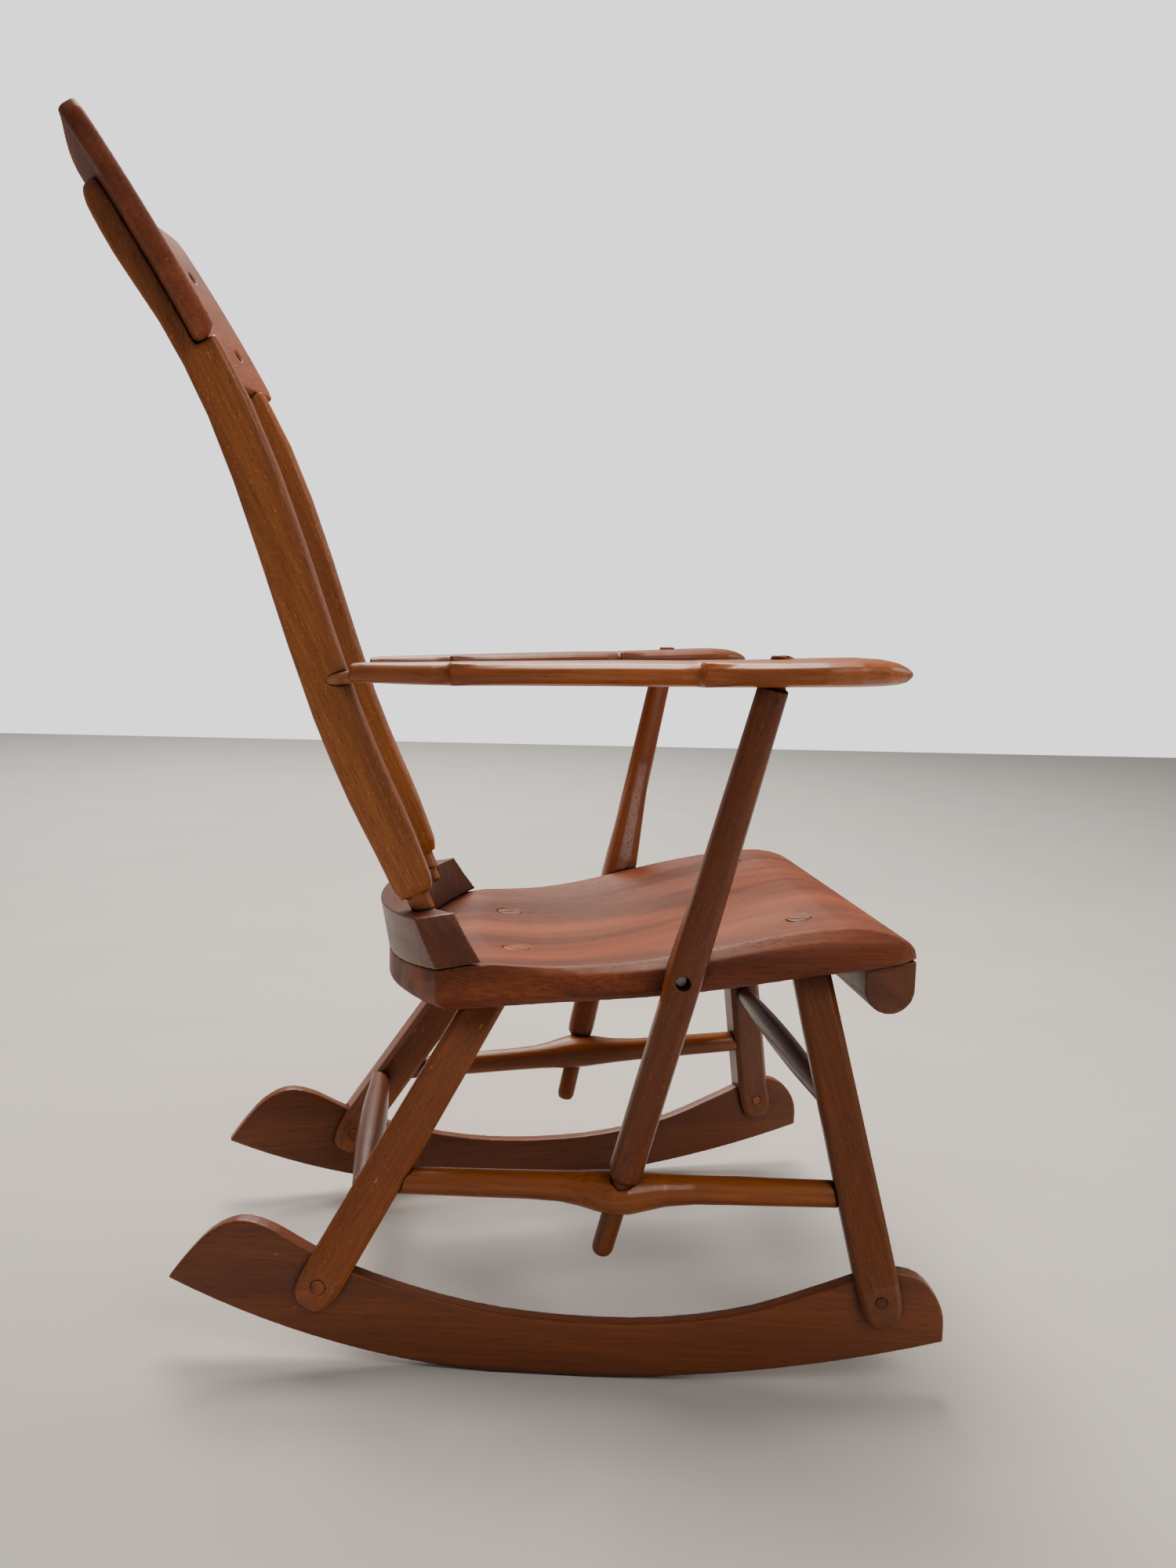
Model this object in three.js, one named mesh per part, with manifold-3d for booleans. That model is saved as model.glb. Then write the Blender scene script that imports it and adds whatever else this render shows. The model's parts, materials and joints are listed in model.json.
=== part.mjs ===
// A handmade wooden rocking chair, as separate pieces held by real joints.
// Millimetres, +Z up, the chair faces -Y, and the sitter's left is +X.
import * as THREE from "three";
import { mergeVertices } from "three/addons/utils/BufferGeometryUtils.js";
import Module from "manifold-3d";

const wasm = await Module();
wasm.setup();

// ---- Driving dimensions ----
const gap = 0.3; // air between two pieces that touch

const rockerRearRadius = 820; // of the arc behind the contact point
const rockerFrontRadius = 1380; // of the flatter arc in front of it
const rockerContact = -42; // where the two arcs meet and the rocker stands
const rockerLow = -1.8; // height of that place, before the worn flat
const rockerFlat = 1; // how deep the flat is that the chair stands on
const rockerThickness = 17;
const rockerToe = 0.145; // radians that each rocker turns outward towards the front
const rockerSide = 228.5; // from the middle of the chair to the rocker, above the contact point
const rockerRear = -394; // along the rocker, from the contact point
const rockerFront = 341;

const seatFront = 312;
const seatRear = -193;
const seatRearRadius = 320; // of the curved back edge, seen from above
const undersideAtZero = 355; // height of the seat's underside above the contact point
const undersideSlope = 0.15; // how much it rises for each millimetre forward
const railSeatAtZero = 409.6; // the flat that the back rail is glued to
const railSeatSlope = 0.23;
const railTopAtZero = 449;
const railTopSlope = 0.155;
const railWidth = 29;
const rollHalfLength = 229;

const legTenon = 12; // radius
const stretcherTenon = 8; // radius
const stretcherDepth = 8; // from the middle of a leg to the end of a tenon in it
const postTenon = 9; // radius
const postScrewForward = 80; // where a screw holds each arm post to the seat's edge
const postScrewUp = 391;
const wedgeThickness = 1.8;
const dowelRadius = 6.2;

const crestTilt = 0.578; // radians back from upright
const crestHeight = 217; // along its slope
const crestThickness = 18;
const crestBowLow = 41; // how far its middle lies behind its ends, along the bottom edge
const crestBowHigh = 30; // and along the top edge
const crestBelly = 2.5; // how far it swells forward between its edges
const crestHalfLow = 197; // half its length along the bottom edge
const crestHalfHigh = 220; // and along the top edge
const crestPlugRadius = 6;

const teak = { color: 0x8a4a24, roughness: 0.5, metalness: 0 };
const darkTeak = { color: 0x6f3a20, roughness: 0.5, metalness: 0 };
const honey = { color: 0x9a5a28, roughness: 0.5, metalness: 0 };
const pegWood = { color: 0x7a4526, roughness: 0.55, metalness: 0 };
const steel = { color: 0x8d8a84, roughness: 0.4, metalness: 1 };

// A point from how far forward, how far to the side and how high it is.
const at = (forward, side, up) => new THREE.Vector3(side, -forward, up);
const smooth = (low, high, value) => THREE.MathUtils.smoothstep(value, low, high);
const lerp = THREE.MathUtils.lerp;

// ---- From shapes to solids and back ----
function solid(geometry) {
  geometry.deleteAttribute("normal");
  geometry.deleteAttribute("uv");
  const merged = mergeVertices(geometry, 1e-4);
  const corners = (triangles) => new wasm.Manifold(new wasm.Mesh({
    numProp: 3,
    vertProperties: new Float32Array(merged.attributes.position.array),
    triVerts: triangles,
  }));
  const triangles = new Uint32Array(merged.index.array);
  const shape = corners(triangles);
  return shape.volume() > 0 ? shape : corners(triangles.reverse()); // a mirrored shape is turned back
}

const moved = (shape, frame) => shape.transform(frame.elements);
const cut = (shape, ...tools) => tools.reduce((left, tool) => left.subtract(tool), shape);

const chair = new THREE.Group();
chair.name = "rocking_chair";

// Adds a piece whose solid is in the chair's place, with its own frame kept on the mesh.
function add(name, shape, look, frame = new THREE.Matrix4()) {
  const mesh = moved(shape, frame.clone().invert()).getMesh();
  const geometry = new THREE.BufferGeometry();
  geometry.setAttribute("position", new THREE.BufferAttribute(mesh.vertProperties, 3));
  geometry.setIndex(new THREE.BufferAttribute(mesh.triVerts, 1));
  geometry.computeVertexNormals();
  const piece = new THREE.Mesh(geometry, new THREE.MeshStandardMaterial(look));
  piece.name = name;
  frame.decompose(piece.position, piece.quaternion, piece.scale);
  chair.add(piece);
}

// A closed bar: the points of a cylinder go where place(t, angle, rim) says.
// t runs along the bar, and rim is 0 in the middle of an end and 1 on the surface.
function bar(sides, steps, place) {
  const geometry = new THREE.CylinderGeometry(1, 1, 1, sides, steps);
  const points = geometry.attributes.position;
  for (let i = 0; i < points.count; i += 1) {
    const x = points.getX(i);
    const z = points.getZ(i);
    const point = place(points.getY(i) + 0.5, Math.atan2(x, z), Math.hypot(x, z));
    points.setXYZ(i, point.x, point.y, point.z);
  }
  return solid(geometry);
}

// A point on a section: power 2 is an ellipse, and a high power is nearly a rectangle.
function section(angle, rim, halfX, halfY, power = 2) {
  const c = Math.cos(angle);
  const s = Math.sin(angle);
  const grow = (Math.abs(c) ** power + Math.abs(s) ** power) ** (-1 / power);
  return [rim * halfX * c * grow, rim * halfY * s * grow];
}

// A bar through stations of [z, halfX, halfY, power, shiftX, shiftY].
function turned(sides, stations) {
  return bar(sides, stations.length - 1, (t, angle, rim) => {
    const [z, halfX, halfY, power, shiftX = 0, shiftY = 0] = stations[Math.round(t * (stations.length - 1))];
    const [x, y] = section(angle, rim, halfX, halfY, power);
    return new THREE.Vector3(x + shiftX, y + shiftY, z);
  });
}

// A point on a rectangle whose four corners are cut off, for bars with eight sides.
function chamfered(angle, rim, halfX, halfY, chamfer) {
  const c = Math.cos(angle - Math.PI / 8);
  const s = Math.sin(angle - Math.PI / 8);
  const onX = Math.abs(c) > Math.abs(s);
  const x = Math.sign(c) * (onX ? halfX : halfX - chamfer);
  const y = Math.sign(s) * (onX ? halfY - chamfer : halfY);
  return [rim * x, rim * y];
}

// A squared bar through stations of [z, halfX, halfY, chamfer, shiftX].
function squared(stations) {
  return bar(8, stations.length - 1, (t, angle, rim) => {
    const [z, halfX, halfY, chamfer, shiftX = 0] = stations[Math.round(t * (stations.length - 1))];
    const [x, y] = chamfered(angle, rim, halfX, halfY, chamfer);
    return new THREE.Vector3(x + shiftX, y, z);
  });
}

// A block whose points go where place(a, b, c) says, each from -1 to 1.
function moulded(across, along, thick, place) {
  const geometry = new THREE.BoxGeometry(2, 2, 2, across, along, thick);
  const points = geometry.attributes.position;
  for (let i = 0; i < points.count; i += 1) {
    const point = place(points.getX(i), points.getY(i), points.getZ(i));
    points.setXYZ(i, point.x, point.y, point.z);
  }
  return solid(geometry);
}

// A frame at one point whose z axis looks at another, with its x axis near a given direction.
function between(from, to, near = at(0, 1, 0)) {
  const z = to.clone().sub(from).normalize();
  const y = new THREE.Vector3().crossVectors(z, near).normalize();
  const x = new THREE.Vector3().crossVectors(y, z);
  return new THREE.Matrix4().makeBasis(x, y, z).setPosition(from);
}

// A straight round rod between two points.
function rod(from, to, radius, sides = 16) {
  const along = to.clone().sub(from);
  const near = Math.abs(along.z) > Math.abs(along.x) ? at(0, 1, 0) : at(0, 0, 1);
  const stations = [[0, radius, radius], [along.length(), radius, radius]];
  return moved(turned(sides, stations), between(from, to, near));
}

// A block centred on a frame, for slots and wedges.
const block = (frame, x, y, z) => moved(solid(new THREE.BoxGeometry(x, y, z)), frame);

// Keeps what lies below a plane through a point.
function below(shape, point, normal) {
  const down = normal.clone().normalize().negate();
  return shape.trimByPlane(down.toArray(), down.dot(point));
}

// ---- Seat surfaces ----
const seatHalfWidth = new THREE.CatmullRomCurve3([
  new THREE.Vector3(-200, 158, 0), new THREE.Vector3(-142, 175, 0), new THREE.Vector3(-33, 205, 0),
  new THREE.Vector3(85, 238, 0), new THREE.Vector3(200, 243, 0), new THREE.Vector3(312, 238, 0),
]);

// Half the seat's width at a place along it.
function halfWidth(forward) {
  let low = 0;
  let high = 1;
  for (let i = 0; i < 24; i += 1) {
    const middle = (low + high) / 2;
    if (seatHalfWidth.getPoint(middle).x < forward) low = middle;
    else high = middle;
  }
  return seatHalfWidth.getPoint(low).y;
}

const underside = (forward) => undersideAtZero + undersideSlope * forward;
const railSeat = (forward) => railSeatAtZero + railSeatSlope * forward;
const rearEdge = (side, radius = seatRearRadius) =>
  seatRear + seatRearRadius - Math.sqrt(radius ** 2 - side ** 2);

const dishDepth = 14;
const noseStart = 245; // where the seat's top starts to curve down to its front edge
const noseTop = 434;
const noseEnd = 406;

// Height of the seat's top along its side edge.
function edgeHeight(forward) {
  if (forward > noseStart) {
    const along = Math.min((forward - noseStart) / (seatFront - noseStart), 1);
    return noseEnd + (noseTop - noseEnd) * Math.sqrt(1 - along ** 2);
  }
  const dip = railSeat(Math.min(forward, -97));
  const rise = lerp(dip, noseTop, smooth(-60, 262, forward));
  return forward < -97 ? dip : rise;
}

// Height of the seat's top anywhere on it.
function seatTop(side, forward) {
  const across = 1 - Math.min(Math.abs(side) / halfWidth(forward), 1) ** 2.5;
  const along = Math.sin(Math.PI * THREE.MathUtils.clamp((forward + 150) / 395, 0, 1));
  return edgeHeight(forward) - dishDepth * across * along;
}

// The direction square to the seat's top at a place.
function seatNormal(side, forward) {
  const step = 4;
  const sideSlope = (seatTop(side + step, forward) - seatTop(side - step, forward)) / (2 * step);
  const forwardSlope = (seatTop(side, forward + step) - seatTop(side, forward - step)) / (2 * step);
  return at(-forwardSlope, -sideSlope, 1);
}

// ---- Seat ----
function makeSeat(grow = 0) {
  const along = 20;
  const noseRows = 6;
  return moulded(16, along, 4, (a, b, c) => {
    const row = Math.round((1 - b) / 2 * along); // 0 at the back edge
    const up = (c + 1) / 2;
    const flatRows = along - noseRows;
    const back = rearEdge(a * 175);
    let forward = lerp(back, noseStart, Math.min(row / flatRows, 1));
    if (row > flatRows) {
      forward += (seatFront - noseStart) * Math.sin(Math.PI / 2 * (row - flatRows) / noseRows);
    }
    const round = smooth(-120, 60, forward) * (1 - smooth(230, 300, forward));
    const topInset = 2 + 16 * round;
    const bottomInset = (4 + 8 * (1 - smooth(225, 250, forward))) * Math.max(0, 1 - up * 3.4) ** 2;
    const inset = topInset * Math.max(0, up * 2.2 - 1.2) ** 2 + bottomInset;
    const corner = 12 * Math.max(0, (forward - 290) / (seatFront - 290)) ** 2;
    const side = a * (halfWidth(forward) - inset - corner + grow);
    const rearInset = row === 0 ? bottomInset : 0;
    return at(forward + rearInset, side, lerp(underside(forward) - grow, seatTop(side, forward) + grow, up));
  });
}

// ---- Rockers, in their own frames: x along the rocker, y up, z through its thickness ----
function rockerFrame(s) {
  const forward = at(Math.cos(rockerToe), s * Math.sin(rockerToe), 0);
  const up = at(0, 0, 1);
  const through = new THREE.Vector3().crossVectors(forward, up);
  return new THREE.Matrix4().makeBasis(forward, up, through).setPosition(at(0, s * rockerSide, 0));
}

// A point in the chair from its place along, out from and above a rocker.
function fromRocker(s, along, out, up) {
  const forward = along * Math.cos(rockerToe) - out * Math.sin(rockerToe);
  const side = rockerSide + along * Math.sin(rockerToe) + out * Math.cos(rockerToe);
  return at(forward, s * side, up);
}

// One of the two arcs of the rocker's underside, from one place along it to another.
function rockerArc(radius, from, to, steps) {
  const turn = (along) => Math.asin((along - rockerContact) / radius) - Math.PI / 2;
  const arc = new THREE.EllipseCurve(rockerContact, rockerLow + radius, radius, radius, turn(from), turn(to));
  return arc.getPoints(steps);
}

function rockerOutline(lift) {
  const reach = (radius) => Math.sqrt(radius ** 2 - (radius - rockerFlat) ** 2);
  const rear = rockerArc(rockerRearRadius, rockerRear, rockerContact - reach(rockerRearRadius), 13);
  const front = rockerArc(rockerFrontRadius, rockerContact + reach(rockerFrontRadius), rockerFront, 11);
  const top = [
    [340, 78], [331, 98], [314, 114], [290, 118], [262, 111], [225, 96], [154, 70], [66, 55], [-30, 54],
    [-120, 65], [-214, 91], [-262, 114], [-296, 132], [-326, 138], [-354, 125], [-378, 99],
  ].map(([along, up]) => new THREE.Vector2(along, up + lift));
  const over = new THREE.SplineCurve([front.at(-1), ...top, rear[0]]).getPoints(52);
  return new THREE.Shape([...rear, ...front, ...over.slice(1, -1)]);
}

function makeRocker(s, grow = 0) {
  const arris = grow > 0 ? 0 : 1.5;
  const depth = rockerThickness + 2 * grow - 2 * arris;
  const bevel = { bevelEnabled: arris > 0, bevelSize: arris, bevelOffset: -arris, bevelThickness: arris };
  const shape = new THREE.ExtrudeGeometry(rockerOutline(grow), { depth, bevelSegments: 1, ...bevel });
  shape.translate(0, 0, -depth / 2);
  return moved(solid(shape), rockerFrame(s));
}

// ---- Legs: foot and head are [along, out, up] beside their rocker ----
const legs = [
  { name: "rear", foot: [-246.5, 81], head: [-80.6, -129.5, 378], below: 26, wide: 20.7, pin: 7, wedgeTurn: 0.5,
    cross: [at(-209, -168, 158), at(-209, 168, 158)] },
  { name: "front", foot: [280, 93], head: [201.3, -95.5, 428], below: 25, wide: 19.8, pin: 5.3, wedgeTurn: 0.5,
    cross: [at(246, -226, 251), at(246, 226, 251)] },
];

// How a leg runs: its frame, the sideways shift at a length along it, and its full length.
function legLine(s, leg) {
  const along = leg.head[0] - leg.foot[0];
  const rise = leg.head[2] - leg.foot[1];
  const length = Math.hypot(along, rise);
  const foot = fromRocker(s, leg.foot[0], 0, leg.foot[1]);
  const head = fromRocker(s, leg.head[0], 0, leg.head[2]);
  const out = fromRocker(s, leg.foot[0], 1, leg.foot[1]).sub(foot);
  const knee = 15;
  const shift = (z) => Math.max(0, z - knee) / (length - knee) * leg.head[1];
  return { frame: between(foot, head, out), length, shift, foot, head, knee };
}

function legBody(s, leg, grow = 0) {
  const line = legLine(s, leg);
  const end = -leg.below - grow;
  const stations = [
    [end, 14, 8, 3], [end + 1.5, 17, 12, 4], [end + 6, 19, 16.5, 5], [end + 14, 19.5, 19, 5],
    [end + 24, 19.5, leg.wide, 5], [15, 19.5, leg.wide, 5], [70, 19, leg.wide, 5],
    [line.length * 0.5, 18.5, leg.wide - 0.6, 5], [line.length + 10, 17.5, leg.wide - 2, 5],
  ].map(([z, halfX, halfY, chamfer]) => [z, halfX + grow, halfY + grow, chamfer, line.shift(z)]);
  return moved(squared(stations), line.frame);
}

function legTenonRod(s, leg, grow = 0) {
  const line = legLine(s, leg);
  const radius = legTenon + grow;
  const stations = [line.length - 62, line.length + 20].map((z) => [z, radius, radius, 2, line.shift(z), 0]);
  return moved(turned(20, stations), line.frame);
}

// Where a leg's tenon comes out of the seat's top.
function tenonTop(s, leg) {
  const head = fromRocker(s, leg.head[0], leg.head[1], 0);
  head.z = seatTop(head.x, -head.y);
  return head;
}

function legWedge(s, leg, grow = 0) {
  const top = tenonTop(s, leg);
  const line = legLine(s, leg);
  const knee = line.foot.clone().lerp(line.head, line.knee / line.length);
  const frame = between(knee, top).setPosition(top);
  frame.multiply(new THREE.Matrix4().makeRotationZ(s * leg.wedgeTurn));
  const wedge = block(frame, wedgeThickness + 2 * grow, 18 + 2 * grow, 40 + 2 * grow);
  return grow > 0 ? wedge : below(wedge, top, seatNormal(top.x, -top.y));
}

// ---- Stretchers ----
const sideStretcherRear = (s) => at(-195, s * 164, 166);
const sideStretcherFront = (s) => at(259, s * 241, 178);

function makeSideStretcher(s) {
  const from = sideStretcherRear(s);
  const to = sideStretcherFront(s);
  const length = from.distanceTo(to);
  const boss = armPostPoint(s, 171);
  const bossAt = boss.clone().sub(from).dot(to.clone().sub(from).normalize());
  const places = [0, 0.12, 0.25, 0.33, 0.39, 0.43, 0.465, 0.5, 0.535, 0.57, 0.61, 0.67, 0.76, 0.88, 1];
  const stations = places.map((t) => {
    const z = t * length;
    const bump = Math.exp(-(((z - bossAt) / 38) ** 2));
    const swell = 1.2 * Math.sin(Math.PI * t);
    return [z, 13 + swell + 11 * bump, 12.8 + swell + 6.5 * bump, 2, s * 12.5 * bump];
  });
  const body = moved(turned(16, stations), between(from, to));
  return jointed(s, body, from, to, legs).subtract(makeArmPost(s, gap));
}

// Fits a stretcher between legs, with a round tenon that goes on into each of them.
function jointed(s, body, from, to, joined) {
  const along = to.clone().sub(from).normalize();
  const shouldered = joined.reduce((left, leg) => left.subtract(legBody(s, leg, gap)), body);
  const tenonFrom = from.clone().addScaledVector(along, stretcherDepth);
  const tenonTo = to.clone().addScaledVector(along, -stretcherDepth);
  return shouldered.add(rod(tenonFrom, tenonTo, stretcherTenon));
}

// A stretcher across the chair, swelled in the middle.
function makeCrossStretcher(leg, from, to, endRadius, high, deep) {
  const length = from.distanceTo(to);
  const stations = [];
  for (let i = 0; i <= 12; i += 1) {
    const swell = Math.sin(Math.PI * i / 12) ** 1.3;
    stations.push([length * i / 12, lerp(endRadius, deep, swell), lerp(endRadius, high, swell), 2]);
  }
  const body = moved(turned(16, stations), between(from, to, at(1, 0, 0)));
  return jointed(1, jointed(-1, body, from, to, [leg]), from, to, [leg]);
}

// ---- Arm posts ----
const armPostLow = [20.4, 211.6, 108.4];
const armPostHigh = [148, 309.1, 684.2];

function armPostPoint(s, up) {
  const t = (up - armPostLow[2]) / (armPostHigh[2] - armPostLow[2]);
  return at(lerp(armPostLow[0], armPostHigh[0], t), s * lerp(armPostLow[1], armPostHigh[1], t), up);
}

const armPostFrame = (s) => between(armPostPoint(s, 106), armPostPoint(s, 700), at(0, s, 0));

function makeArmPost(s, grow = 0) {
  const stations = [
    [4 - grow, 5, 2], [6, 8.5, 2], [11, 10.6, 2], [88, 10.8, 2], [88.4, 13.6, 2.2], [92, 15.2, 2.3],
    [100, 16, 2.5], [180, 15.8, 2.8], [300, 16, 3], [420, 15, 2.8], [500, 14.2, 2.6], [574, 13.5, 2.4], [574.2, 10, 2],
    [603.2, 10, 2],
  ].map(([z, radius, power]) => [z, radius + grow, radius + grow, power]);
  return moved(turned(16, stations), armPostFrame(s));
}

// The swelling on the inside of an arm post that stands on the seat.
function makeShoulder(s, broad, power) {
  const foot = armPostPoint(s, 370);
  const head = armPostPoint(s, 560);
  const length = foot.distanceTo(head);
  const stations = [];
  for (let i = 0; i <= 9; i += 1) {
    const t = i / 9;
    const fade = smooth(0.12, 1, t) ** 0.75;
    const reach = lerp(40, 11, fade);
    stations.push([length * t, reach / 2 + 4, lerp(broad, 12, fade), power, -(reach / 2 - 2)]);
  }
  return moved(turned(16, stations), between(foot, head, at(0, s, 0)));
}

// ---- Back rail ----
const railTop = (forward) => railTopAtZero + railTopSlope * forward;

function makeRail() {
  return moulded(26, 3, 2, (a, b, c) => {
    const up = (c + 1) / 2;
    const outward = (b + 1) / 2;
    const lean = up * (10 - 4 * (1 - outward));
    const radius = lerp(seatRearRadius - railWidth, seatRearRadius, outward) + lean;
    const side = a * lerp(lerp(185, 175, outward), 158, up);
    const forward = rearEdge(side, radius);
    return at(forward, side, lerp(railSeat(forward) + gap, railTop(forward), up));
  });
}

// A hidden dowel between the rail and the seat.
function railDowel(side, grow = 0) {
  const forward = rearEdge(side, seatRearRadius - railWidth / 2);
  const low = at(forward, side, railSeat(forward) - 14 - grow);
  const high = at(forward, side, railSeat(forward) + 18 + grow);
  return rod(low, high, 4 + grow, 12);
}

// ---- Back posts ----
const backPostLine = new THREE.CatmullRomCurve3([
  at(-162, 118.3, 441), at(-185, 121, 494), at(-214, 125, 556), at(-245, 130, 632), at(-290, 139, 768),
  at(-331, 147, 881), at(-374, 153, 964), at(-422, 158, 1033), at(-452, 161, 1085),
]);
const backPostDepth = (t) => lerp(19.5, 22.5, smooth(0, 0.22, t)) - 6 * smooth(0.4, 1, t);

function backPostPoint(s, t, across, deep) {
  const centre = backPostLine.getPoint(t);
  const along = backPostLine.getTangent(t);
  const forward = new THREE.Vector3().crossVectors(new THREE.Vector3(1, 0, 0), along).normalize().negate();
  const point = centre.add(new THREE.Vector3(across, 0, 0)).addScaledVector(forward, -deep);
  point.x *= s;
  return point;
}

function makeBackPost(s) {
  const body = bar(8, 24, (step, angle, rim) => {
    const t = step - 0.12 * Math.sin(2 * Math.PI * step); // sections lie closer near both ends
    const fromFoot = 0.84 + 0.16 * smooth(0, 0.025, t);
    const fromHead = 0.4 + 0.6 * Math.sqrt(Math.max(0, 1 - Math.max(0, (t - 0.945) / 0.055) ** 2));
    const size = Math.min(fromFoot, fromHead);
    const [across, deep] = chamfered(angle, rim, lerp(14.5, 13.3, t) * size, backPostDepth(t) * size, 3.2 * size);
    return backPostPoint(s, t, across, deep);
  });
  return cut(body.add(backTenon(s)), crestBoard(gap, 24), armDowel(s, gap));
}

// The round tenon under a back post, with the thicker neck that stands on the rail.
function backTenon(s, grow = 0) {
  const foot = backPostPoint(s, 0.03, 0, 0);
  const down = backPostPoint(s, 0, 0, 0).sub(backPostPoint(s, 0.05, 0, 0)).normalize();
  const tenon = rod(foot, foot.clone().addScaledVector(down, 48 + grow), postTenon + grow, 16);
  if (grow > 0) return tenon;
  const neck = rod(foot, foot.clone().addScaledVector(down, 45), 11.6, 16);
  return tenon.add(below(neck, at(0, 0, railTop(0) + gap), at(railTopSlope, 0, -1)));
}

// ---- Crest board ----
// A point on the crest: up its slope, across it, and back through its thickness.
function crestPoint(up, side, back) {
  const rise = THREE.MathUtils.clamp(up / crestHeight, 0, 1);
  const bow = lerp(crestBowLow, crestBowHigh, rise) * Math.max(0, 1 - (side / crestHalfHigh) ** 2) ** 1.5;
  const belly = crestBelly * 4 * rise * (1 - rise);
  const forward = belly - 337.3 - up * Math.sin(crestTilt) - back * Math.cos(crestTilt) - bow;
  return at(forward, side, 957 + up * Math.cos(crestTilt) - back * Math.sin(crestTilt));
}

// The board, or the room it needs in a post when it grows, open in front by a distance.
function crestBoard(grow = 0, open = 0) {
  const arris = grow > 0 ? 0 : 4;
  return moulded(16, 12, 3, (a, b, c) => {
    const t = (1 + Math.sin(-b * Math.PI / 2)) / 2; // 0 at the bottom edge
    const edge = crestHeight * Math.min(t, 1 - t);
    const radius = t < 0.5 ? 14 : 22;
    const corner = radius - Math.sqrt(radius ** 2 - Math.max(0, radius - edge) ** 2);
    const onFace = Math.abs(c) === 1;
    const half = lerp(crestHalfLow, crestHalfHigh, t) - corner - (onFace && Math.abs(a) === 1 ? arris : 0);
    const trim = onFace && Math.abs(b) === 1 ? arris : -grow;
    const up = t < 0.5 ? t * crestHeight + (t === 0 ? trim : 0) : t * crestHeight - (t === 1 ? trim : 0);
    const depth = onFace ? crestThickness / 2 + grow : crestThickness / 2 - arris;
    const back = crestThickness / 2 - Math.sign(c) * depth - (c > 0 ? open : 0);
    return crestPoint(up, a * half, back);
  });
}

// A screw through the crest into a back post, and the plug over its head.
function crestAxis(s, up) {
  const side = s * lerp(154, 161, up / crestHeight);
  const front = crestPoint(up, side, 0);
  const into = crestPoint(up, side, 1).sub(front).normalize();
  return (depth) => front.clone().addScaledVector(into, depth);
}

function crestPlug(s, up, grow = 0) {
  const along = crestAxis(s, up);
  return rod(along(grow > 0 ? -4 : 0), along(5.2 + grow), crestPlugRadius + grow, 16);
}

function crestScrew(s, up, grow = 0) {
  const along = crestAxis(s, up);
  const head = rod(along(5.5 - grow), along(8.5 + grow), 3.8 + grow, 12);
  return head.add(rod(along(7), along(29 + grow), 1.9 + grow, 10));
}

// ---- Arms: [forward, middle to the side, half width, bottom, top, squareness of the edge] ----
const armStations = [
  [-227, 151.5, 8.5, 650, 663.5, 2.4], [-225, 152.5, 11, 648.5, 666, 2.4], [-214, 157, 13, 648.3, 667.5, 2.4],
  [-176, 171, 18, 648.3, 669, 2.4], [-150, 181.5, 22, 648.6, 670.3, 2.6], [-134, 187, 19, 649, 671, 3],
  [-132, 191, 25.5, 649, 671, 12], [-122, 194, 25.5, 649.4, 671.6, 6], [-106, 200, 27.5, 650, 672.3, 3.2],
  [-75, 212, 31, 651.2, 673.8, 2.6], [-30, 232, 34, 652.9, 675.8, 2.6], [20, 254, 36, 654.7, 678, 2.6],
  [62, 272, 36, 656.3, 679.2, 2.6], [79, 278, 31, 657, 679.6, 3], [81, 282, 38, 657, 679.8, 12],
  [92, 287, 39, 657.5, 680.4, 6], [110, 295, 41.5, 658.2, 681.4, 3.2], [140, 306, 44, 659.3, 683.2, 2.6],
  [175, 315.5, 44, 660.6, 685.4, 2.6], [205, 321, 40, 661.7, 686.8, 2.6], [228, 324, 32, 663, 686, 2.6],
  [241, 325.5, 22, 664.4, 683.6, 2.4], [250, 326, 13, 666.5, 680, 2.2], [256, 326.5, 4, 671, 676, 2],
];

function makeArm(s) {
  const last = armStations.length - 1;
  return bar(16, last, (t, angle, rim) => {
    const [forward, middle, half, low, high, square] = armStations[Math.round(t * last)];
    const [across, up] = section(angle, rim, half, (high - low) / 2, square);
    return at(forward, s * (middle + across), (low + high) / 2 + up);
  });
}

function armDowel(s, grow = 0) {
  return rod(at(-262 - grow, s * 131.5, 646.5), at(-203 + grow, s * 160, 657), dowelRadius + grow, 14);
}

const armTenonTop = (s) => armPostPoint(s, 686.6);

function armWedge(s, grow = 0) {
  const top = armTenonTop(s);
  const frame = between(armPostPoint(s, 600), top, at(0, s, 0)).setPosition(top);
  frame.multiply(new THREE.Matrix4().makeRotationZ(0.3));
  const wedge = block(frame, 16.5 + 2 * grow, wedgeThickness + 2 * grow, 36 + 2 * grow);
  return grow > 0 ? wedge : below(wedge, top, at(0, 0, 1));
}

// The screw that holds an arm post to the seat's edge, deep in a counterbore.
function postScrew(s, grow = 0) {
  const axis = (side) => at(postScrewForward, s * side, postScrewUp);
  const head = rod(axis(262 + grow), axis(258.6 - grow), 5 + grow, 14);
  return head.add(rod(axis(259), axis(212 - grow), 2.4 + grow, 10));
}

const fromPostScrew = (s, side) => at(postScrewForward, s * side, postScrewUp);
const postCounterbore = (s) => rod(fromPostScrew(s, 300), fromPostScrew(s, 262), 6.8, 18);
const postPlug = (s) => rod(fromPostScrew(s, 275.3), fromPostScrew(s, 266), 6.2, 18);

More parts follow.
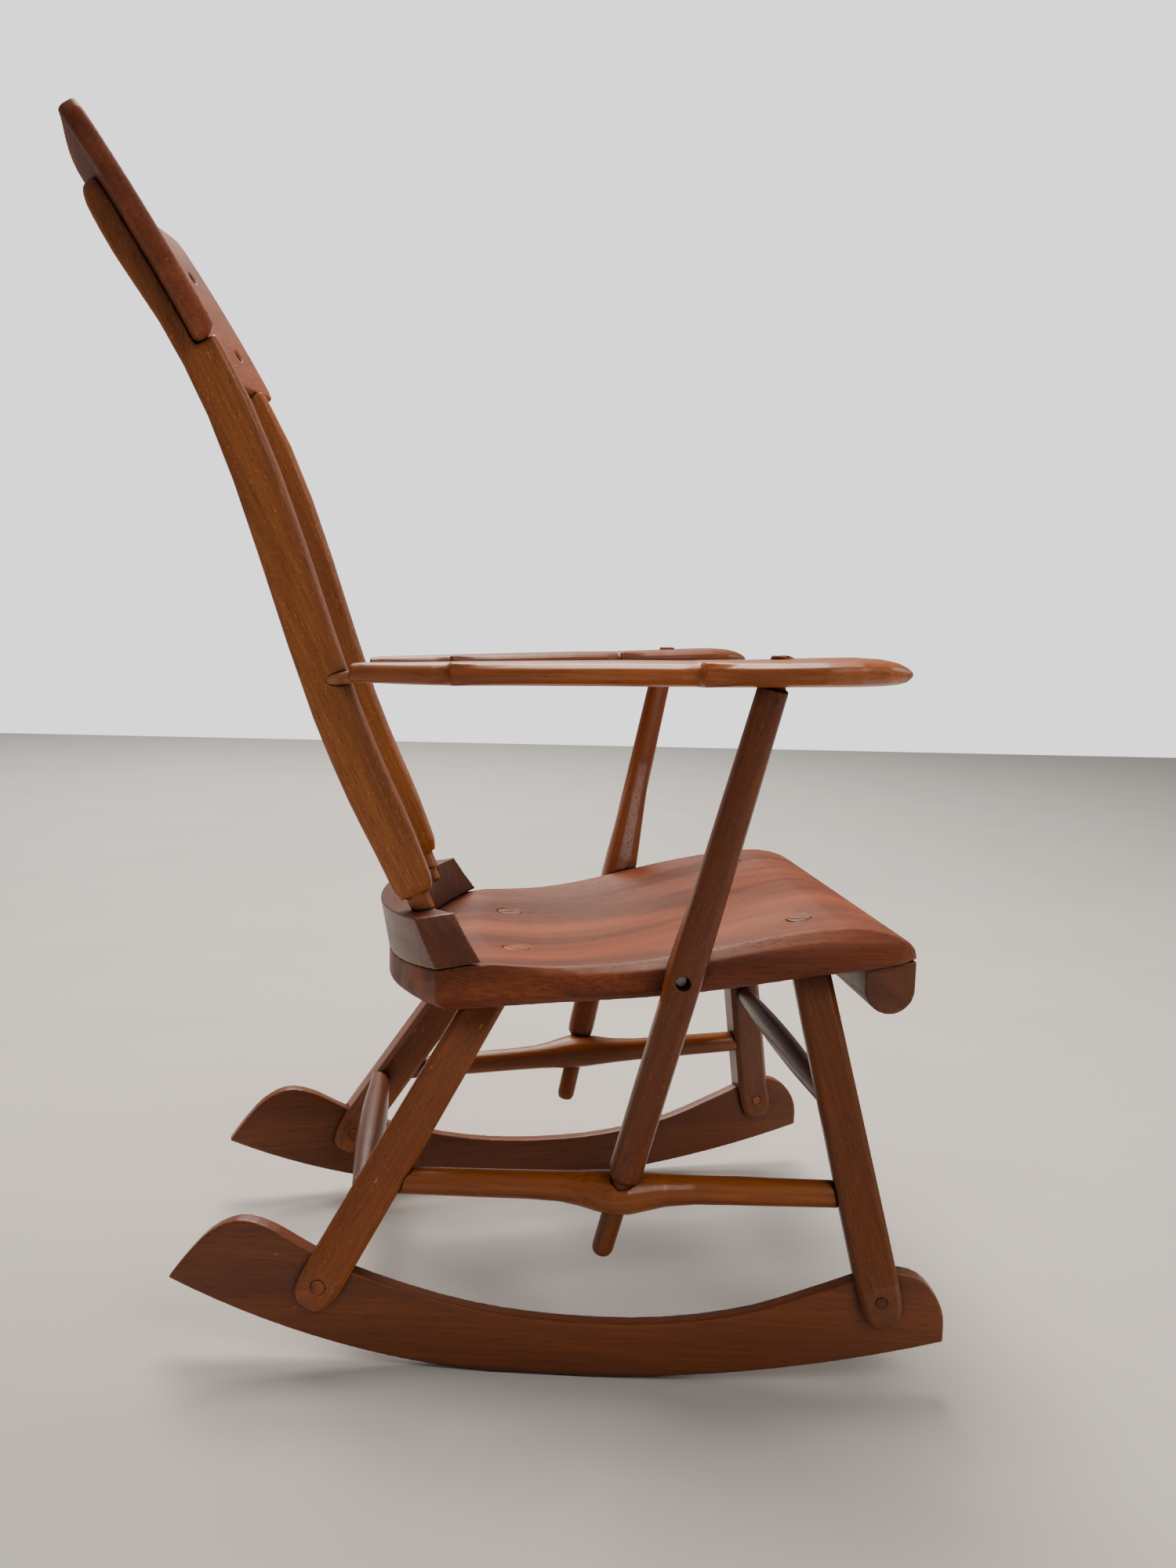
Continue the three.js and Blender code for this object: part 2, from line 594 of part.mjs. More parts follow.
// ---- Roll under the front of the seat ----
function makeRoll() {
  const [forward, up, radius] = [287, 374, 24];
  const profile = new THREE.Shape();
  profile.moveTo(-radius, 40);
  profile.lineTo(-radius, 0);
  profile.absarc(0, 0, radius, Math.PI, 2 * Math.PI, false);
  profile.lineTo(radius, 40);
  const long = 2 * rollHalfLength;
  const geometry = new THREE.ExtrudeGeometry(profile, { depth: long, bevelEnabled: false, curveSegments: 16 });
  const ahead = new THREE.Matrix4().makeBasis(at(1, 0, 0), at(0, 0, 1), at(0, -1, 0));
  const roll = moved(solid(geometry), ahead.setPosition(at(forward, rollHalfLength, up)));
  return below(roll, at(0, 0, underside(0) - gap), at(-undersideSlope, 0, 1));
}

const rollDowel = (side, grow = 0) =>
  rod(at(287, side, 372 - grow), at(284.4, side, 412 + grow), 5 + grow, 12);

const legPin = (s, leg, grow = 0) => {
  const half = 19.6 + 4 * grow;
  return rod(fromRocker(s, leg.foot[0], -half, leg.foot[1]), fromRocker(s, leg.foot[0], half, leg.foot[1]),
    leg.pin + grow, 18);
};

// ---- Assembly: every piece is cut for the pieces that go into it ----
const sides = [-1, 1];
const hand = (s) => (s > 0 ? "left" : "right");
const crestScrewUps = [52, 150];
const railDowelSides = [-72, 0, 72];
const rollDowelSides = [-160, 0, 160];

const seatUp = at(-undersideSlope, 0, 1);
const underSeat = at(0, 0, underside(0) - gap);
const seatRoom = makeSeat(gap);

// The ends of the stretchers that go into a leg, as the bores they need.
function stretcherBores(s, leg) {
  const [from, to] = leg.cross;
  const along = rod(sideStretcherRear(s), sideStretcherFront(s), stretcherTenon + gap);
  return [along, rod(from, to, stretcherTenon + gap)];
}

function makeLeg(s, leg) {
  const body = below(legBody(s, leg), underSeat, seatUp);
  const top = tenonTop(s, leg);
  const tenon = below(legTenonRod(s, leg), top, seatNormal(top.x, -top.y));
  const rocker = makeRocker(s, gap);
  return cut(body.add(tenon), rocker, legPin(s, leg, gap), legWedge(s, leg, gap), ...stretcherBores(s, leg));
}

let seat = makeSeat();
let rail = makeRail();
let crest = crestBoard();
let roll = makeRoll();
for (const side of railDowelSides) {
  seat = seat.subtract(railDowel(side, gap));
  rail = rail.subtract(railDowel(side, gap));
  add(`rail_dowel_${railDowelSides.indexOf(side) + 1}`, railDowel(side), pegWood);
}
for (const side of rollDowelSides) {
  seat = seat.subtract(rollDowel(side, gap));
  roll = roll.subtract(rollDowel(side, gap));
  add(`roll_dowel_${rollDowelSides.indexOf(side) + 1}`, rollDowel(side), pegWood);
}

for (const s of sides) {
  let rocker = makeRocker(s);
  for (const leg of legs) {
    add(`leg_${leg.name}_${hand(s)}`, makeLeg(s, leg), teak, legLine(s, leg).frame);
    add(`leg_wedge_${leg.name}_${hand(s)}`, legWedge(s, leg), pegWood);
    add(`rocker_pin_${leg.name}_${hand(s)}`, legPin(s, leg), pegWood);
    rocker = rocker.subtract(legPin(s, leg, gap));
    seat = seat.subtract(legTenonRod(s, leg, gap));
  }
  add(`rocker_${hand(s)}`, rocker, darkTeak, rockerFrame(s));

  const shoulder = s > 0 ? makeShoulder(s, 20, 4.5) : makeShoulder(s, 13.5, 2.6); // the left one is broader
  const post = below(makeArmPost(s), armTenonTop(s), at(0, 0, 1)).add(shoulder);
  const postCuts = [seatRoom, postCounterbore(s), postScrew(s, gap), armWedge(s, gap)];
  add(`side_stretcher_${hand(s)}`, makeSideStretcher(s), teak);
  add(`arm_post_${hand(s)}`, cut(post, ...postCuts), honey);
  add(`arm_post_screw_${hand(s)}`, postScrew(s), steel);
  add(`arm_wedge_${hand(s)}`, armWedge(s), pegWood);
  add(`arm_${hand(s)}`, cut(makeArm(s), makeArmPost(s, gap), armDowel(s, gap)), teak);
  add(`arm_dowel_${hand(s)}`, armDowel(s), honey);
  seat = seat.subtract(postScrew(s, gap));

  let backPost = makeBackPost(s);
  rail = rail.subtract(backTenon(s, gap));
  for (const up of crestScrewUps) {
    const place = `${up < 100 ? "lower" : "upper"}_${hand(s)}`;
    add(`crest_screw_${place}`, crestScrew(s, up), steel);
    add(`crest_plug_${place}`, crestPlug(s, up), darkTeak);
    backPost = backPost.subtract(crestScrew(s, up, gap));
    crest = cut(crest, crestScrew(s, up, gap), crestPlug(s, up, gap));
  }
  add(`back_post_${hand(s)}`, backPost, honey);
}
add("arm_post_plug_left", postPlug(1), pegWood);

add("seat", seat, teak);
add("front_roll", roll, teak);
add("back_rail", rail, darkTeak);
add("crest_rail", crest, darkTeak);
add("stretcher_rear", makeCrossStretcher(legs[0], ...legs[0].cross, 10.5, 15.5, 15.5), teak);
add("stretcher_front", makeCrossStretcher(legs[1], ...legs[1].cross, 9, 15.5, 12), teak);

// The chair stands on z = 0, with its box's middle over the origin.
const box = new THREE.Box3().setFromObject(chair);
const middle = box.getCenter(new THREE.Vector3());
chair.position.set(-middle.x, -middle.y, -box.min.z);

export default chair;
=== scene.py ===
# %% [markdown]
# # A handmade wooden rocking chair
# The wood was shaped with hand tools, oiled, and then rubbed by years of use. The pieces come in as
# exact but flat-sided solids, so this lesson softens each one as a maker's sandpaper would, and then
# gives each its own wood. First the imported solids are loaded.

# %% Load the chair
import json
import math

import bpy
from mathutils import Matrix, Vector

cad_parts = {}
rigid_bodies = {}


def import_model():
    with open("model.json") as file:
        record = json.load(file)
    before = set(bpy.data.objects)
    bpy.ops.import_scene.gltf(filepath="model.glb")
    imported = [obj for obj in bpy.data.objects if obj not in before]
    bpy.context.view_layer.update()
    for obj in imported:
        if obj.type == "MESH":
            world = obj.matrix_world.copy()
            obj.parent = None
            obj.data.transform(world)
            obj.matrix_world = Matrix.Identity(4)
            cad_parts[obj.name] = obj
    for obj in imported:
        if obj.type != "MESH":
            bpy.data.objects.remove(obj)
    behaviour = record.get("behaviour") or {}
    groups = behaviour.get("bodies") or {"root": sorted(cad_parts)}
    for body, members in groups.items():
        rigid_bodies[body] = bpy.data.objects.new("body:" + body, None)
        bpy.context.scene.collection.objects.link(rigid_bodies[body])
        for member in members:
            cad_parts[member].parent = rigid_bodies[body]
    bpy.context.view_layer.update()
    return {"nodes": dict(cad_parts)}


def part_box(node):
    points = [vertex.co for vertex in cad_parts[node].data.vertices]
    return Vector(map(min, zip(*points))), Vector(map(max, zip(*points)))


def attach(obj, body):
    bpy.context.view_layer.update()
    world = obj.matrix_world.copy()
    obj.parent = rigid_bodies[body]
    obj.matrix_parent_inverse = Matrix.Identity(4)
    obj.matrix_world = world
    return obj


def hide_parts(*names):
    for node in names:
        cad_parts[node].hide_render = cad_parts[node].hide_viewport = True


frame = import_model()
nodes = frame["nodes"]

# %% [markdown]
# ## Softening a piece
# On the real chair no edge is sharp: every arris was eased with a spokeshave and sandpaper, and the
# long curves have no flats. A bevel would only round the edges and leave the flats on the curves.
# Instead the copy is remeshed into small even cells, which lets the Smooth modifier melt flats and
# edges together. The cell size sets how crisp the piece stays, and the passes set how worn it is.


# %% A helper that selects one piece
def choose(piece):
    bpy.ops.object.select_all(action="DESELECT")
    piece.select_set(True)
    bpy.context.view_layer.objects.active = piece


# %% A helper that makes the worked copy of a solid
def worked(node, cell, passes):
    piece = bpy.data.objects.new(f"{node}_worked", nodes[node].data.copy())
    bpy.context.scene.collection.objects.link(piece)
    choose(piece)
    bpy.ops.object.mode_set(mode="EDIT")
    bpy.ops.mesh.select_all(action="SELECT")
    bpy.ops.mesh.remove_doubles(threshold=0.00001)
    bpy.ops.mesh.normals_make_consistent(inside=False)
    bpy.ops.object.mode_set(mode="OBJECT")
    piece.data.remesh_voxel_size = cell
    piece.data.remesh_voxel_adaptivity = 0.0
    bpy.ops.object.voxel_remesh()
    eased = piece.modifiers.new("eased", "SMOOTH")
    eased.factor = 0.5
    eased.iterations = passes
    bpy.ops.object.modifier_apply(modifier=eased.name)
    bpy.ops.object.shade_smooth()
    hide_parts(node)
    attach(piece, "root")
    print(piece.name, len(piece.data.polygons), "faces")
    return piece


# %% [markdown]
# ## What wood is made of
# A sawn board shows broad bands where it crosses the growth rings, fine fibres along its length, and
# short dark pores. All three are noise that is stretched along the grain. They are kept in one node
# group, so each kind of wood is the same pattern with its own colours and amounts.


# %% Small helpers for node trees
def new_group(name, inputs, outputs):
    group = bpy.data.node_groups.new(name, "ShaderNodeTree")
    kinds = {"v": "NodeSocketVector", "c": "NodeSocketColor", "f": "NodeSocketFloat"}
    for title, kind in inputs:
        group.interface.new_socket(title, in_out="INPUT", socket_type=kinds[kind])
    for title, kind in outputs:
        group.interface.new_socket(title, in_out="OUTPUT", socket_type=kinds[kind])
    return group, group.nodes.new("NodeGroupInput"), group.nodes.new("NodeGroupOutput")


def stretched_noise(tree, vector, stretch, scale, detail=4.0, distortion=0.0):
    pull = tree.nodes.new("ShaderNodeVectorMath")
    pull.operation = "MULTIPLY"
    pull.inputs[1].default_value = (1.0, 1.0, stretch)
    noise = tree.nodes.new("ShaderNodeTexNoise")
    noise.inputs["Scale"].default_value = scale
    noise.inputs["Detail"].default_value = detail
    noise.inputs["Distortion"].default_value = distortion
    tree.links.new(vector, pull.inputs[0])
    tree.links.new(pull.outputs[0], noise.inputs["Vector"])
    return noise.outputs["Fac"]


def spread(tree, value, low, high, to_low=0.0, to_high=1.0):
    node = tree.nodes.new("ShaderNodeMapRange")
    node.interpolation_type = "SMOOTHSTEP"
    node.inputs["From Min"].default_value = low
    node.inputs["From Max"].default_value = high
    node.inputs["To Min"].default_value = to_low
    node.inputs["To Max"].default_value = to_high
    tree.links.new(value, node.inputs["Value"])
    return node.outputs["Result"]


def calculate(tree, operation, first, second):
    node = tree.nodes.new("ShaderNodeMath")
    node.operation = operation
    for socket, value in zip(node.inputs, (first, second)):
        if isinstance(value, (int, float)):
            socket.default_value = value
        else:
            tree.links.new(value, socket)
    return node.outputs[0]


def blend(tree, amount, first, second, how="MIX"):
    node = tree.nodes.new("ShaderNodeMix")
    node.data_type = "RGBA"
    node.blend_type = how
    for socket, value in zip((node.inputs[0], node.inputs[6], node.inputs[7]), (amount, first, second)):
        if isinstance(value, (int, float, tuple)):
            socket.default_value = value
        else:
            tree.links.new(value, socket)
    return node.outputs[2]


# %% The wood grain group
def make_grain_group():
    group, given, made = new_group(
        "Wood grain",
        [("Vector", "v"), ("Dark", "c"), ("Light", "c"), ("Pore Colour", "c"),
         ("Pores", "f"), ("Flecks", "f"), ("Streaks", "f"), ("Streak Colour", "c"), ("Roughness", "f")],
        [("Color", "c"), ("Roughness", "f"), ("Height", "f")])
    place = given.outputs["Vector"]
    bands = spread(group, stretched_noise(group, place, 0.09, 17.0, 5.0, 0.8), 0.34, 0.66)
    boards = spread(group, stretched_noise(group, place, 0.05, 6.0, 2.0, 0.3), 0.36, 0.64)
    fibres = stretched_noise(group, place, 0.025, 330.0, 3.0)
    pores = spread(group, stretched_noise(group, place, 0.045, 900.0, 2.0), 0.60, 0.70)
    flecks = spread(group, stretched_noise(group, place, 0.5, 520.0, 1.0), 0.63, 0.72)
    narrow = calculate(group, "MULTIPLY", bands, 0.6)
    broad = calculate(group, "MULTIPLY", boards, 0.4)
    depth = calculate(group, "ADD", narrow, broad)
    wood = blend(group, depth, given.outputs["Dark"], given.outputs["Light"])
    thread = spread(group, fibres, 0.35, 0.65, 0.0, 0.38)
    wood = blend(group, thread, wood, given.outputs["Dark"])
    pore_amount = calculate(group, "MULTIPLY", pores, given.outputs["Pores"])
    wood = blend(group, pore_amount, wood, given.outputs["Pore Colour"])
    fleck_amount = calculate(group, "MULTIPLY", flecks, given.outputs["Flecks"])
    wood = blend(group, fleck_amount, wood, given.outputs["Light"], "ADD")
    tint = spread(group, stretched_noise(group, place, 0.03, 9.0, 3.0, 0.5), 0.45, 0.68)
    tint_amount = calculate(group, "MULTIPLY", tint, given.outputs["Streaks"])
    wood = blend(group, tint_amount, wood, given.outputs["Streak Colour"])
    group.links.new(wood, made.inputs["Color"])
    dull = calculate(group, "MULTIPLY", pore_amount, 0.2)
    sheen = calculate(group, "MULTIPLY", bands, -0.07)
    rough = calculate(group, "ADD", calculate(group, "ADD", given.outputs["Roughness"], dull), sheen)
    group.links.new(rough, made.inputs["Roughness"])
    lift = calculate(group, "SUBTRACT", calculate(group, "MULTIPLY", fibres, 0.5), pore_amount)
    group.links.new(lift, made.inputs["Height"])
    return group


grain_group = make_grain_group()
print("grain group sockets:", [s.name for s in grain_group.interface.items_tree])

# %% [markdown]
# ## Wear and painted shade
# Painted shade darkens the corners where two pieces meet, in the near-black of old oil, and hands polish
# the proud edges pale, and knocks leave small pale nicks. Ambient occlusion finds the corners for the
# painted shade, pointiness finds the edges, and sparse cells of a Voronoi pattern give the nicks. These make
# the second group.


# %% The wear and painted shade group
def make_wear_and_shade_group():
    # The near-black colour of the painted shade in corners
    corner_shade_colour = (0.012, 0.006, 0.003, 1.0)
    corner_reach = 0.022
    group, given, made = new_group(
        "Wear and painted shade",
        [("Vector", "v"), ("Color", "c"), ("Worn Colour", "c"),
         ("Corner Shade", "f"), ("Edges", "f"), ("Nicks", "f")],
        [("Color", "c"), ("Roughness", "f")])
    # Painted shade: ambient occlusion darkens everything within reach of another surface
    hollow = group.nodes.new("ShaderNodeAmbientOcclusion")
    hollow.samples = 8
    hollow.inputs["Distance"].default_value = corner_reach
    corner_shade = spread(group, hollow.outputs["AO"], 0.25, 0.95, 1.0, 0.0)
    corner_shade = calculate(group, "MULTIPLY", corner_shade, given.outputs["Corner Shade"])
    shape = group.nodes.new("ShaderNodeNewGeometry")
    edges = spread(group, shape.outputs["Pointiness"], 0.515, 0.57)
    patches = spread(group, stretched_noise(group, given.outputs["Vector"], 1.0, 38.0, 3.0), 0.38, 0.62)
    edges = calculate(group, "MULTIPLY", calculate(group, "MULTIPLY", edges, patches), given.outputs["Edges"])
    cells = group.nodes.new("ShaderNodeTexVoronoi")
    cells.inputs["Scale"].default_value = 75.0
    pull = group.nodes.new("ShaderNodeVectorMath")
    pull.operation = "MULTIPLY"
    pull.inputs[1].default_value = (1.0, 1.0, 0.3)
    group.links.new(given.outputs["Vector"], pull.inputs[0])
    group.links.new(pull.outputs[0], cells.inputs["Vector"])
    nicks = spread(group, cells.outputs["Distance"], 0.05, 0.09, 1.0, 0.0)
    few = spread(group, stretched_noise(group, given.outputs["Vector"], 1.0, 19.0, 2.0), 0.56, 0.60)
    nicks = calculate(group, "MULTIPLY", calculate(group, "MULTIPLY", nicks, few), given.outputs["Nicks"])
    colour = blend(group, edges, given.outputs["Color"], given.outputs["Worn Colour"])
    colour = blend(group, nicks, colour, given.outputs["Worn Colour"])
    # Painted shade: corners are blended towards near-black
    colour = blend(group, corner_shade, colour, corner_shade_colour)
    group.links.new(colour, made.inputs["Color"])
    rough = calculate(group, "MULTIPLY", calculate(group, "ADD", corner_shade, nicks), 0.3)
    group.links.new(rough, made.inputs["Roughness"])
    return group


wear_and_shade_group = make_wear_and_shade_group()
print("wear group sockets:", [s.name for s in wear_and_shade_group.interface.items_tree])

# %% [markdown]
# ## One kind of wood
# A material turns the pattern so that the grain runs along its piece: the Mapping node carries the
# piece's own direction onto the pattern's long axis. The two groups then feed one Principled shader,
# and a Bump node lifts the fibres a hair. A thin coat stands for rubbed oil. The seat, the head
# board and the arm posts get none.


# %% A helper that makes a wood material
def wood(name, along, dark, light, pores=0.6, flecks=0.0, rough=0.42, nicks=0.5, coat=0.1, streaks=0.0,
         shine=0.36):
    material = bpy.data.materials.new(name)
    material.use_nodes = True
    tree = material.node_tree
    shader = tree.nodes["Principled BSDF"]
    where = tree.nodes.new("ShaderNodeTexCoord")
    turn = tree.nodes.new("ShaderNodeMapping")
    turn.inputs["Rotation"].default_value = Vector(along).rotation_difference(Vector((0, 0, 1))).to_euler()
    grain = tree.nodes.new("ShaderNodeGroup")
    grain.node_tree = grain_group
    wear_and_shade = tree.nodes.new("ShaderNodeGroup")
    wear_and_shade.node_tree = wear_and_shade_group
    worn = tuple(min(1.0, 1.7 * c + 0.015) for c in light)
    streak = (min(1.0, 1.5 * light[0]), 1.35 * light[1], light[2])
    settings = {"Dark": (*dark, 1), "Light": (*light, 1), "Pore Colour": (*[0.3 * c for c in dark], 1),
                "Pores": pores, "Flecks": flecks, "Streaks": streaks, "Streak Colour": (*streak, 1),
                "Roughness": rough}
    for title, value in settings.items():
        grain.inputs[title].default_value = value
    # The corner darkening set here is painted shade
    settings = {"Worn Colour": (*worn, 1), "Corner Shade": 0.85, "Edges": 0.45, "Nicks": nicks}
    for title, value in settings.items():
        wear_and_shade.inputs[title].default_value = value
    bump = tree.nodes.new("ShaderNodeBump")
    bump.inputs["Strength"].default_value = 0.25
    bump.inputs["Distance"].default_value = 0.0006
    tree.links.new(where.outputs["Object"], turn.inputs["Vector"])
    tree.links.new(turn.outputs["Vector"], grain.inputs["Vector"])
    tree.links.new(turn.outputs["Vector"], wear_and_shade.inputs["Vector"])
    tree.links.new(grain.outputs["Color"], wear_and_shade.inputs["Color"])
    tree.links.new(wear_and_shade.outputs["Color"], shader.inputs["Base Color"])
    total = calculate(tree, "ADD", grain.outputs["Roughness"], wear_and_shade.outputs["Roughness"])
    tree.links.new(total, shader.inputs["Roughness"])
    tree.links.new(grain.outputs["Height"], bump.inputs["Height"])
    tree.links.new(bump.outputs["Normal"], shader.inputs["Normal"])
    shader.inputs["Coat Weight"].default_value = coat
    shader.inputs["Coat Roughness"].default_value = 0.3
    shader.inputs["Specular IOR Level"].default_value = shine
    return material


def direction(node, x_way, y_way):
    low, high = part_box(node)
    size = [high[i] - low[i] for i in range(3)]
    return (x_way * size[0], y_way * size[1], size[2])


def dress(piece, material):
    piece.data.materials.clear()
    piece.data.materials.append(material)


# %% [markdown]
# ## The seat
# The seat is a thick board, glued up from planks that run from front to back, then dished. Its planks
# differ: purple-brown heartwood lies beside orange streaks. It is the largest surface, so its cells
# are larger.

# %% Work and finish the seat
seat_wood = wood("seat wood", (0, 1, 0), (0.066, 0.016, 0.008), (0.235, 0.060, 0.020),
                 pores=0.75, rough=0.54, nicks=0.3, coat=0.0, streaks=0.6, shine=0.2)
seat = worked("seat", 0.0026, 8)
dress(seat, seat_wood)

# %% [markdown]
# ## The back rail and the head board
# Both are bowed boards of darker wood, with the grain across the chair. The rail is stacked on the
# seat's back edge. The head board is let into the posts, and round plugs hide its screws.

# %% Work and finish the rail and the head board
rail_wood = wood("rail wood", (1, 0, 0), (0.05, 0.014, 0.007), (0.135, 0.038, 0.017), pores=0.7, rough=0.46)
rail = worked("back_rail", 0.0016, 8)
dress(rail, rail_wood)
board_wood = wood("head board wood", (1, 0, 0), (0.10, 0.026, 0.012), (0.30, 0.080, 0.030), pores=0.8,
                  rough=0.56, coat=0.0, shine=0.2)
board = worked("crest_rail", 0.0018, 11)
dress(board, board_wood)

# %% [markdown]
# ## Back posts, arms and arm posts
# The posts are honey brown with pale flecks, as quarter-sawn wood shows them. The arms were carved
# and are the most handled pieces, so they are golden and smooth. Each side leans its own way, so each
# gets a material with its own grain direction.

# %% Work and finish the upper frame
both_sides = (("left", 1.0), ("right", -1.0))
for side, sign in both_sides:
    post_wood = wood(f"back post wood {side}", direction(f"back_post_{side}", sign, 1.0),
                     (0.115, 0.029, 0.005), (0.35, 0.108, 0.020), pores=0.7, flecks=0.45, rough=0.44)
    dress(worked(f"back_post_{side}", 0.0016, 10), post_wood)
    arm_wood = wood(f"arm wood {side}", (-sign * 0.4, 0.92, 0.0), (0.12, 0.028, 0.006), (0.40, 0.115, 0.026),
                    pores=0.4, flecks=0.08, rough=0.4, nicks=0.7, coat=0.05, streaks=0.5)
    dress(worked(f"arm_{side}", 0.0015, 9), arm_wood)
    arm_post_wood = wood(f"arm post wood {side}", direction(f"arm_post_{side}", sign, -1.0),
                         (0.075, 0.015, 0.002), (0.23, 0.056, 0.007), pores=0.6, flecks=0.3, rough=0.4,
                         coat=0.0, streaks=0.3)
    dress(worked(f"arm_post_{side}", 0.0015, 8), arm_post_wood)

# %% [markdown]
# ## Legs and rockers
# The legs are square bars with planed corners, forked over the rockers. The rockers are sawn from
# plain red-brown boards. Both lie low, so they carry more knocks. The rear legs are painted lighter
# and the front legs darker, as painted light and shade.

# %% Work and finish the legs and rockers
for side, sign in both_sides:
    for end in ("rear", "front"):
        node = f"leg_{end}_{side}"
        leaning = direction(node, -sign, -1.0 if end == "rear" else 1.0)
        # Painted light and shade: the rear legs get a lighter copy and the front legs a darker copy of one
        # wood
        painted_light_share = 1.15 if end == "rear" else 0.66
        dark = (0.105 * painted_light_share, 0.024 * painted_light_share, 0.004 * painted_light_share)
        light = (0.30 * painted_light_share, 0.080 * painted_light_share, 0.012 * painted_light_share)
        leg_wood = wood(f"leg wood {end} {side}", leaning, dark, light, pores=0.65, flecks=0.3,
                        rough=0.42, nicks=0.7)
        dress(worked(node, 0.0013, 4), leg_wood)
    rocker_wood = wood(f"rocker wood {side}", (sign * 0.144, -0.99, 0.0), (0.085, 0.018, 0.003),
                       (0.185, 0.045, 0.007), pores=0.5, rough=0.42, nicks=1.0)
    dress(worked(f"rocker_{side}", 0.0018, 4), rocker_wood)

# %% [markdown]
# ## Stretchers and the roll under the seat
# The stretchers were rounded by eye, so they have no flats at all, and more passes melt the sides of
# their solids into a true round. The roll is a plainer bar and gets only a few passes.

# %% Work and finish the stretchers and the roll
for side, sign in both_sides:
    node = f"side_stretcher_{side}"
    stretcher_wood = wood(f"stretcher wood {side}", (-sign * 0.2, 0.98, 0.0), (0.14, 0.034, 0.005),
                          (0.36, 0.098, 0.014), pores=0.45, rough=0.34)
    dress(worked(node, 0.0014, 14), stretcher_wood)
cross_wood = wood("cross wood", (1, 0, 0), (0.06, 0.016, 0.006), (0.16, 0.046, 0.016), pores=0.5, rough=0.42)
dress(worked("stretcher_front", 0.0015, 14), cross_wood)
dress(worked("stretcher_rear", 0.0015, 14), cross_wood)
dress(worked("front_roll", 0.0018, 5), cross_wood)

# %% [markdown]
# ## Pegs, wedges, plugs and screws
# The small pieces keep their solids, because little more than an end of each shows. Wedges and pins
# show end grain, which is short and dull, so their pattern has more pores and is rougher. The plugs
# in the head board share its wood. The screws are plain steel, dulled in patches.

# %% Finish the small pieces
peg_wood = wood("peg end grain", (1, 0, 0), (0.06, 0.016, 0.005), (0.19, 0.055, 0.015), pores=1.0, rough=0.55)
pin_wood = wood("pin wood", (1, 0, 0), (0.085, 0.02, 0.004), (0.24, 0.064, 0.012), pores=1.0, rough=0.5)
dowel_wood = wood("dowel wood", (0, 1, 0), (0.13, 0.04, 0.013), (0.32, 0.115, 0.04), pores=0.5, rough=0.45)


def steel():
    material = bpy.data.materials.new("screw steel")
    material.use_nodes = True
    tree = material.node_tree
    shader = tree.nodes["Principled BSDF"]
    where = tree.nodes.new("ShaderNodeTexCoord")
    tarnish = stretched_noise(tree, where.outputs["Object"], 1.0, 400.0)
    colour = blend(tree, spread(tree, tarnish, 0.3, 0.7), (0.25, 0.23, 0.2, 1), (0.5, 0.48, 0.45, 1))
    tree.links.new(colour, shader.inputs["Base Color"])
    tree.links.new(spread(tree, tarnish, 0.3, 0.7, 0.35, 0.6), shader.inputs["Roughness"])
    shader.inputs["Metallic"].default_value = 1.0
    return material


screw_steel = steel()
copies = [piece.name for piece in bpy.data.objects if piece.name.endswith("_worked")]
worked_nodes = {name.removesuffix("_worked") for name in copies}
for name, piece in nodes.items():
    if name in worked_nodes:
        continue
    if "screw" in name:
        dress(piece, screw_steel)
    elif name.startswith("arm_dowel"):
        dress(piece, dowel_wood)
    elif name.startswith("rocker_pin"):
        dress(piece, pin_wood)
    elif name.startswith("crest_plug"):
        dress(piece, board_wood)
    else:
        dress(piece, peg_wood)
print("small pieces finished:", len(nodes) - len(worked_nodes))

# %% [markdown]
# ## The studio
# The chair stands on a plain pale floor. One broad soft light hangs high behind it, as a bright
# ceiling would. Softer ones fill from the viewer's side and from the front, and one more lifts the
# far floor. The world adds an even glow, and behind the chair it is seen as a pale wall.

# %% Floor
bpy.ops.object.select_all(action="DESELECT")
floor_size = 14.0
bpy.ops.mesh.primitive_plane_add(size=floor_size, location=(0, 0, 0))
floor = bpy.context.active_object
floor.name = "floor"
paper = bpy.data.materials.new("floor paper")
paper.use_nodes = True
paper_shader = paper.node_tree.nodes["Principled BSDF"]
paper_place = paper.node_tree.nodes.new("ShaderNodeTexCoord")
mottle = stretched_noise(paper.node_tree, paper_place.outputs["Object"], 1.0, 3.0)
paper_colour = blend(paper.node_tree, mottle, (0.50, 0.48, 0.46, 1), (0.58, 0.56, 0.54, 1))
paper.node_tree.links.new(paper_colour, paper_shader.inputs["Base Color"])
paper_shader.inputs["Roughness"].default_value = 0.85
dress(floor, paper)


# %% Lights
def soft_light(name, place, look_at, size, power, tint=(1.0, 0.93, 0.86)):
    data = bpy.data.lights.new(name, "AREA")
    data.color = tint
    data.shape = "DISK"
    data.size = size
    data.energy = power
    lamp = bpy.data.objects.new(name, data)
    bpy.context.scene.collection.objects.link(lamp)
    lamp.location = place
    lamp.rotation_euler = (Vector(look_at) - Vector(place)).to_track_quat("-Z", "Y").to_euler()
    return lamp


